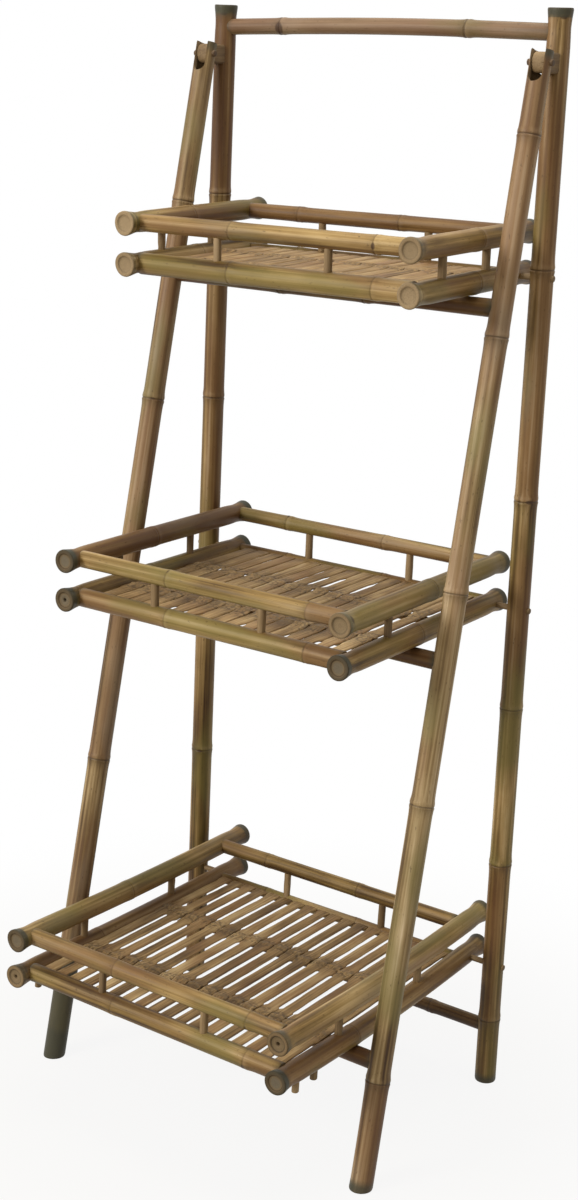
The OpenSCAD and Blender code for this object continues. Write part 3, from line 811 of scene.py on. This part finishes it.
# How light the three lengths of each are, from left to right.
CROSS_TONES = {
    "top_front_upper": (0.62, 0.58, 0.7), "top_front_lower": (0.4, 0.46, 0.55),
    "top_rear_upper": (0.3, 0.22, 0.25), "top_rear_lower": (0.35, 0.3, 0.3),
    "middle_front_upper": (0.6, 0.56, 0.48), "middle_front_lower": (0.5, 0.45, 0.4),
    "middle_rear_upper": (0.5, 0.48, 0.42), "middle_rear_lower": (0.35, 0.35, 0.3),
    "bottom_front_upper": (0.48, 0.5, 0.42), "bottom_front_lower": (0.42, 0.42, 0.38),
    "bottom_rear_upper": (0.5, 0.45, 0.3), "bottom_rear_lower": (0.35, 0.4, 0.35)}
CROSS_WARMTH = {"top_rear_upper": (0.9, 0.8, 0.4), "top_front_upper": (0.5, 0.3, 0),
                "middle_front_upper": (-0.2, -0.5, 0.5), "middle_front_lower": (0.4, -0.4, 0.2)}
rail_radius = rails["top", "upper", "left"].radii[0]
for tray in TRAYS:
    for end in ("front", "rear"):
        for level in ("upper", "lower"):
            key = f"{tray}_{end}_{level}"
            cross_culm(f"{tray}_tray_{end}_rail_{level}", rail_material, tray + "_tray",
                       "rail_bamboo", rail_radius, tones=CROSS_TONES[key], ridge=RAIL_RIDGE,
                       warmth=CROSS_WARMTH.get(key, (0, RAIL_GREEN, 0)))


# ---- Nails, pins, pegs and spindles ----
# Thin dowels whittled from solid bamboo, chamfered at the ends and a little uneven.
# Nails lock the tenons, pins carry the legs and trays, spindles stand between the rails,
# and pegs stick out below the bottom tray.

DOWEL_COLUMNS = 20
DARK_PINS = -0.5


def dowel(low, high, radius, draw, tone):
    """An uneven round stick from low to high, of a tone drawn between 0 and the given one."""
    length = np.linalg.norm(high - low)
    way = (high - low) / length
    edge = min(0.9 * MM, 0.3 * radius)
    middle = np.linspace(edge, length - edge, max(4, round(length / (6 * MM))))
    at = np.concatenate([[0, 0, 0.3 * edge], middle, [length - 0.3 * edge, length, length]])
    wide = np.concatenate([[0.5 * radius, radius - edge, radius - 0.4 * edge],
                           radius * (1 + 0.02 * draw.standard_normal(len(middle))),
                           [radius - 0.4 * edge, radius - edge, 0.5 * radius]])
    cut = np.concatenate([[1, 1, 0.4], 0 * middle, [0.4, 1, 1]])
    angle = np.arange(DOWEL_COLUMNS) / DOWEL_COLUMNS * 2 * math.pi
    flats = 1 + 0.03 * np.cos(2 * angle + draw.uniform(0, 6)) + 0.015 * np.cos(5 * angle)
    across = unit(np.cross(way, (0.3, 0.2, 0.9) if abs(way[2]) < 0.9 else BACK))
    other = np.cross(way, across)
    x, y = wide[:, None] * flats * np.cos(angle), wide[:, None] * flats * np.sin(angle)
    along = at[:, None] + 0 * x
    grid = low + along[..., None] * way + x[..., None] * across + y[..., None] * other
    grain = np.stack([x, y, along + draw.uniform(1, 40)], -1)
    return skin_over(grid, {"grain": grain, "tone": 0 * x + tone * draw.uniform(0, 1),
                            "cut": np.repeat(cut[:, None], DOWEL_COLUMNS, 1)})


STREAK_BROWN = (0.06, 0.035, 0.018, 1)
PORE_BROWN = (0.05, 0.032, 0.018, 1)


def dowel_material(name, shades):
    """Whittled bamboo: fine fibres along, a few dark streaks, and darker cut ends."""
    material, start = new_material(name)
    grain = attribute(start, "grain", 1)
    tone = attribute(start, "tone")
    cut = attribute(start, "cut")
    patch = grain.scaled(60, 60, 22).noise(detail=2)
    fibre = grain.scaled(1500, 1500, 22).noise(detail=3)
    streak = grain.scaled(420, 420, 7).noise(detail=2)
    level = (patch - 0.5) * 0.8 + (fibre - 0.5) * 0.8 + (streak - 0.5) * 0.7 + tone * 0.5 + 0.25
    colour = level.node("ValToRGB", {"stops": shades}, {"Fac": level})
    colour = colour.mixed(STREAK_BROWN, streak.smooth(0.58, 0.75) * 0.6)
    pores = grain.scaled(1700, 1700, 40).noise(detail=1).smooth(0.5, 0.68) * 0.5
    end = colour.mixed(PORE_BROWN, pores + 0.3)
    colour = colour.mixed(end, cut)
    finish_surface(material, colour, 0.5 + 0.3 * fibre, fibre * 0.6 + streak * 0.4, 0.2 * MM, 0.3)
    return material


DOWEL_SHADES = ((0.0, (0.085, 0.050, 0.026)), (0.35, (0.16, 0.105, 0.052)),
                (0.65, (0.24, 0.165, 0.085)), (1.0, (0.36, 0.26, 0.15)))
whittled_bamboo = dowel_material("whittled_bamboo", DOWEL_SHADES)


def dowels(node, way, body, tone=1.0):
    """The dowels of a node, all of which lie along way."""
    draw = np.random.default_rng(zlib.crc32(node.encode()))
    way = np.array(way, float)
    skins = []
    for points in solids_of(node):
        low, high = end_of(points, -way), end_of(points, way)
        along = (points - low) @ unit(high - low)
        radius = np.linalg.norm(points - low - np.outer(along, unit(high - low)), axis=1).max()
        skins.append(dowel(low, high, radius, draw, tone))
    mesh = mesh_of(node + "_set", skins)
    place(node + "_set", mesh, whittled_bamboo, body, "dowel_bamboo", node)


tray_back = {tray: rails[tray, "lower", "left"].way for tray in TRAYS}
tray_up = {tray: np.cross(RIGHT, tray_back[tray]) for tray in TRAYS}
dowels("rear_nails", BACK, "rear_frame")
dowels("front_nails", leg_back, "front_frame")
dowels("leg_pivot_pins", RIGHT, "front_frame", DARK_PINS)
for tray in TRAYS:
    dowels(f"{tray}_tray_spindles", tray_up[tray], tray + "_tray")
    dowels(f"{tray}_tray_hinge_pins", RIGHT, tray + "_tray")
dowels("bottom_tray_stop_pegs", tray_up["bottom"], "bottom_tray")


# ---- Leg tongues ----
# A rounded block of solid bamboo, tenoned into the front of each pole.
# It fills the fork of the leg top, which turns on the pin through both.

TONGUE_CORNER = 3.2 * MM
TONGUE_NOSE = 7 * MM
TONGUE_COLUMNS = 28
TONGUE_PALENESS = {"left": 0.15, "right": 0.5}


def rounded_section(half_width, half_height, corner, count):
    """Points round a rectangle with round corners, evenly turned."""
    angle = (np.arange(count) + 0.5) / count * 2 * math.pi
    corner = min(corner, half_width, half_height)
    x = np.sign(np.cos(angle)) * (half_width - corner) + corner * np.cos(angle)
    z = np.sign(np.sin(angle)) * (half_height - corner) + corner * np.sin(angle)
    return x, z


for side in SIDES:
    node = "leg_tongue_" + side
    draw = np.random.default_rng(zlib.crc32(node.encode()))
    points = solid_points(node)
    block = points[points[:, 1] < points[:, 1].max() - pole_radius]
    low, high = block.min(0), block.max(0)
    half_width, half_height = (high[0] - low[0]) / 2, (high[2] - low[2]) / 2
    middle_x, middle_z = (high[0] + low[0]) / 2, (high[2] + low[2]) / 2
    turn_y = low[1] + half_height
    nose = np.linspace(0.08, math.pi / 2, 12)
    rows = np.concatenate([turn_y - TONGUE_NOSE * np.cos(nose),
                           np.linspace(turn_y, points[:, 1].max(), 8)[1:]])
    grid = []
    for y in rows:
        ahead = max(0.0, turn_y - y) / TONGUE_NOSE
        height = half_height * math.sqrt(max(0.0, 1 - ahead ** 2)) ** 0.7
        x, z = rounded_section(half_width * (1 + 0.01 * draw.standard_normal()), height,
                               TONGUE_CORNER, TONGUE_COLUMNS)
        grid.append(np.stack([middle_x + x, y + 0 * x, middle_z + z], -1))
    grid = np.array(grid)
    grain = (grid - low)[..., (0, 2, 1)] + (0, 0, draw.uniform(1, 40))
    pale = 1 - smooth_steps(grid[..., 1], turn_y - 2 * MM, turn_y + 10 * MM)
    mesh = mesh_of(node + "_block", [skin_over(grid, {
        "grain": grain, "tone": 0.1 + TONGUE_PALENESS[side] * pale, "cut": 0 * pale})])
    place(node + "_block", mesh, whittled_bamboo, "rear_frame", "dowel_bamboo", node)


# ---- Floors of the trays ----
# Slats split from wide culms run from the front rail to the rear rail, over two battens.
# Where a slat has its culm node it is wider and rough. Top and middle floors are close set.

SLAT_COLUMNS = 14
SLAT_STEP = 3 * MM
SLAT_TUCK = 4 * MM
# In millimetres, as OPEN_SLITS is, with places measured from the hinge: where the bands of
# nodes lie, half their width, how far apart slats stand in them and elsewhere, how wide an
# open slit is, and the length at the rear ends where slats close up.
BANDS = {"top": (-170, -72), "middle": (-249, -115), "bottom": (-320, -160)}
BAND_HALF = {"top": 12, "middle": 17, "bottom": 19}
BAND_GAP = 0.9
SLAT_GAP = {"top": 1.0, "middle": 1.6, "bottom": 5.6}
SLIT_GAP = 6.0
CLOSED_END = {"top": 10, "middle": 10, "bottom": 11}
# Each ridge across a slat's node: height, half width in millimetres, least and most of it.
KNOT_RIDGES = ((1.5 * MM, 2.8, 0.5, 1.3), (0.8 * MM, 11, 0.1, 1.6))
KNOT_PACE = {"top": 0.8, "middle": 0.5, "bottom": 1.0}
SHADE_SPREAD = {"top": 0.3, "middle": 0.45, "bottom": 0.6}
BATTEN_ROWS = 60
BATTEN_NODES = (-90 * MM, 120 * MM)
# Where slits of the middle floor stand open: the gap, then where it starts and ends.
OPEN_SLITS = ((4, -334, -292), (5, -332, -300), (6, -331, -296), (9, -335, -297), (12, -336, -300),
              (14, -334, -292), (15, -335, -286), (7, -100, -52), (8, -106, -42), (10, -92, -40),
              (15, -215, -120))


def bump(values, low, high, soft):
    """1 from low to high and 0 outside, with soft shoulders."""
    begun = smooth_steps(values, low - soft, low + soft)
    return begun * (1 - smooth_steps(values, high - soft, high + soft))


def slow_noise(draw, values, step):
    """Random values between -1 and 1, one for each step, with straight lines between them."""
    low = values.min()
    count = int((values.max() - low) / step) + 3
    knots = draw.uniform(-1, 1, count)
    return np.interp(values, low + np.arange(count) * step, knots)


SLAT_RED = (0.235, 0.118, 0.048, 1)
BAND_BROWN = (0.050, 0.030, 0.013, 1)
CREST_STRAW = (0.40, 0.29, 0.16, 1)
SLAT_GAP_SHADE = (0.05, 0.028, 0.012, 1)


def split_material(name, shades):
    """Split bamboo: straw to reddish brown slats, long streaks, rough dark node bands, and painted
    shade along the edges of each slat.
    """
    material, start = new_material(name)
    grain = attribute(start, "grain", 1)
    tone = attribute(start, "tone")
    gap = attribute(start, "node_gap")
    rim = attribute(start, "rim_gap")
    patch = grain.scaled(45, 45, 14).noise(detail=3)
    streak = grain.scaled(420, 420, 5).noise(detail=2)
    fibre = grain.scaled(1600, 1600, 18).noise(detail=3)
    knots = grain.scaled(300, 300, 240).noise(detail=3)
    level = ((tone - 0.5) * 0.6 + (patch - 0.5) * 1.3 + (streak - 0.5) * 1.1
             + (fibre - 0.5) * 0.6 + 0.5)
    colour = level.node("ValToRGB", {"stops": shades}, {"Fac": level})
    red = grain.scaled(22, 22, 9).noise(detail=2).smooth(0.45, 0.7) * 0.45
    colour = colour.mixed(SLAT_RED, red)
    band = 1 - gap.smooth(3, 20)
    colour = colour.mixed(BAND_BROWN, band * (0.1 + knots.smooth(0.45, 0.6) * 0.7))
    crest = (1 - gap.smooth(1, 5)) * knots.smooth(0.4, 0.6) * 0.3
    colour = colour.mixed(CREST_STRAW, crest)
    # Painted shade: the edges of the top and underside of each slat and batten are darkened, as
    # the crevices between them would be.
    colour = colour.mixed(SLAT_GAP_SHADE, (1 - rim.smooth(0, 1.3)) * 0.65)
    height = fibre * 0.5 + streak * 0.5 + knots * band * 1.5
    finish_surface(material, colour, 0.48 + 0.3 * fibre, height, 0.35 * MM, 0.3)
    return material


SPLIT_SHADES = ((0.0, (0.070, 0.036, 0.012)), (0.35, (0.195, 0.120, 0.047)),
                (0.65, (0.345, 0.225, 0.098)), (1.0, (0.53, 0.39, 0.205)))
split_bamboo = split_material("split_bamboo", SPLIT_SHADES)


def strip(origin, axes, ends, left, right, low, high, draw, node_gap, lift=0, spread=1.0):
    """A slat along the second of three axes. left and right are its edges along the length,
    low and high its underside and top, and lift is how far it rises along the length."""
    across, along, up = axes
    at = np.linspace(*ends, len(left))
    angle = (np.arange(SLAT_COLUMNS) + 0.5) / SLAT_COLUMNS * 2 * math.pi
    round_x = np.sign(np.cos(angle)) * np.abs(np.cos(angle)) ** 0.35
    round_z = np.sign(np.sin(angle)) * np.abs(np.sin(angle)) ** 0.6
    share = (1 + round_x) / 2
    x = left[:, None] + (right - left)[:, None] * share
    crown = 0.5 * MM * (1 - round_x ** 2)
    z = low + (high - low) * (1 + round_z) / 2 + crown + (lift + 0 * at)[:, None]
    y = at[:, None] + 0 * x
    grid = origin + x[..., None] * across + y[..., None] * along + z[..., None] * up
    grain = np.stack([x, z, y + draw.uniform(1, 40)], -1)
    # Distance to the slat's edges, which the split material uses for painted shade between slats;
    # the side faces are kept out of it.
    rim = np.minimum(x - left[:, None], right[:, None] - x) / MM + 3 * (round_z ** 2 < 0.2)
    gap = np.abs(node_gap[:, None] + 3 * round_x ** 2)
    tone = 0.55 + spread * draw.uniform(-0.5, 0.5)
    return skin_over(grid, {"grain": grain, "tone": 0 * x + tone, "node_gap": gap, "rim_gap": rim})


for tray in TRAYS:
    body = tray + "_tray"
    hinge = next(np.array(joint["pos_m"]) for joint in frame["joints"] if joint["child"] == body)
    axes = np.array((RIGHT, tray_back[tray], tray_up[tray]), float)
    draw = np.random.default_rng(zlib.crc32((body + "_floor").encode()))
    spans = []
    for points in solids_of(body + "_slats"):
        own = (points - hinge) @ axes.T
        spans.append((own.min(0), own.max(0)))
    spans.sort(key=lambda span: span[0][0])
    lows, highs = np.array([s[0] for s in spans]), np.array([s[1] for s in spans])
    y_low, y_high = lows[:, 1].min() - SLAT_TUCK, highs[:, 1].max() + SLAT_TUCK
    at = np.linspace(y_low, y_high, round((y_high - y_low) / SLAT_STEP))
    centres = (lows[:, 0] + highs[:, 0]) / 2
    pitch = centres[1] - centres[0]
    gaps = []
    for k in range(len(spans) + 1):
        gap = SLAT_GAP[tray] + 0.9 * slow_noise(draw, at, 45 * MM) + draw.uniform(-0.6, 0.6)
        for gap_at, start_y, end_y in OPEN_SLITS if tray == "middle" else ():
            if gap_at == k - 1:
                gap += (SLIT_GAP - gap) * bump(at, start_y * MM, end_y * MM, 6 * MM)
        for band in BANDS[tray]:
            jitter = draw.uniform(-4, 4, 2)
            wide = BAND_HALF[tray]
            gap += (BAND_GAP - gap) * bump(at, (band - wide + jitter[0]) * MM,
                                           (band + wide + jitter[1]) * MM, 1.8 * MM)
        end = highs[:, 1].max() - (CLOSED_END[tray] + draw.uniform(-3, 3)) * MM
        gap += (BAND_GAP - gap) * smooth_steps(at, end - 2 * MM, end + 2 * MM)
        gaps.append(gap * MM)
    skins = []
    for k, centre in enumerate(centres):
        sway = 0.5 * MM * slow_noise(draw, at, 60 * MM)
        reach = [(pitch - gaps[k + side]) / 2 + 0.3 * MM * slow_noise(draw, at, 14 * MM)
                 for side in (0, 1)]
        node_gap = np.full(len(at), FAR_GAP)
        lift = 0.35 * MM * slow_noise(draw, at, 80 * MM)
        for band in BANDS[tray]:
            node = band + draw.uniform(-5, 5)
            off = at / MM - node
            node_gap = np.where(np.abs(off) < np.abs(node_gap), off, node_gap)
            for ridge, half, least, most in KNOT_RIDGES:
                lift = lift + ridge * np.exp(-((off / half) ** 2)) * draw.uniform(least, most)
        skins.append(strip(hinge, axes, (y_low, y_high), centre - reach[0] + sway,
                           centre + reach[1] + sway, lows[k, 2], highs[k, 2] - 0.5 * MM,
                           draw, node_gap * KNOT_PACE[tray], lift, SHADE_SPREAD[tray]))
    name = body + "_slat_set"
    place(name, mesh_of(name, skins), split_bamboo, body, "split_bamboo", body + "_slats")

    skins = []
    turned_axes = np.array((-axes[1], axes[0], axes[2]))
    for points in solids_of(body + "_battens"):
        own = (points - hinge) @ turned_axes.T
        low, high = own.min(0), own.max(0)
        x = np.linspace(low[1], high[1], BATTEN_ROWS)
        wave = 0.5 * MM * slow_noise(draw, x, 40 * MM)
        gap = np.min([np.abs(x - node) for node in BATTEN_NODES], axis=0) / MM
        skins.append(strip(hinge, turned_axes, (low[1], high[1]), low[0] + wave, high[0] + wave,
                           low[2], high[2] - 0.6 * MM, draw, gap))
    name = body + "_batten_set"
    place(name, mesh_of(name, skins), split_bamboo, body, "split_bamboo", body + "_battens")
